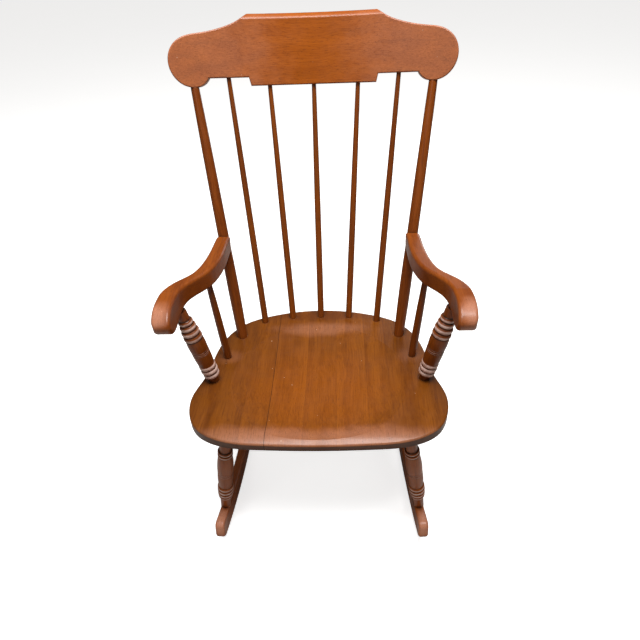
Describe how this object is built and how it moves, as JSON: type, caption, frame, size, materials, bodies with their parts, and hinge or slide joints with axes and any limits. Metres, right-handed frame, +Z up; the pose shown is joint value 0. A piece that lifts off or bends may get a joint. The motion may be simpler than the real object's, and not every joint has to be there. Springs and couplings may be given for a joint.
{
  "type": "rocking chair",
  "caption": "Spindle-back wooden rocking chair with a shaped crest rail, S-curved arms, turned legs and posts, and curved rockers.",
  "frame": {"origin": "on the floor under the middle of the chair's bounding box, with the rockers resting on their lowest points", "axes": "+X across the chair, to the right for someone in front of it; +Y towards the back, so the sitter faces -Y; +Z up"},
  "size_m": [0.634, 0.7135, 1.058],
  "materials": {
    "seat_maple": "stained reddish brown, satin lacquer",
    "crest_maple": "stained reddish brown, satin lacquer",
    "turned_maple": "stained reddish brown, satin lacquer, with lighter wear on the beads",
    "sawn_maple": "stained honey brown, satin lacquer, worn lighter on the hands and rocker tips",
    "plug_maple": "stained brown, satin lacquer",
    "screw_steel": "zinc-plated"
  },
  "bodies": {
    "root": {"seat_board_1": "seat_maple", "seat_board_2": "seat_maple", "seat_board_3": "seat_maple", "seat_board_4": "seat_maple", "seat_board_5": "seat_maple", "seat_board_6": "seat_maple", "seat_board_7": "seat_maple", "crest_rail": "crest_maple", "back_spindle_1": "turned_maple", "back_spindle_2": "turned_maple", "back_spindle_3": "turned_maple", "back_spindle_4": "turned_maple", "back_spindle_5": "turned_maple", "back_post_left": "turned_maple", "back_post_right": "turned_maple", "arm_post_left": "turned_maple", "arm_post_right": "turned_maple", "arm_spindle_left": "turned_maple", "arm_spindle_right": "turned_maple", "front_leg_left": "turned_maple", "front_leg_right": "turned_maple", "rear_leg_left": "turned_maple", "rear_leg_right": "turned_maple", "arm_left": "sawn_maple", "arm_right": "sawn_maple", "rocker_left": "sawn_maple", "rocker_right": "sawn_maple", "arm_screws": "screw_steel", "arm_screw_plugs": "plug_maple", "crest_pins": "plug_maple", "rocker_pins": "plug_maple"}
  },
  "joints": []
}
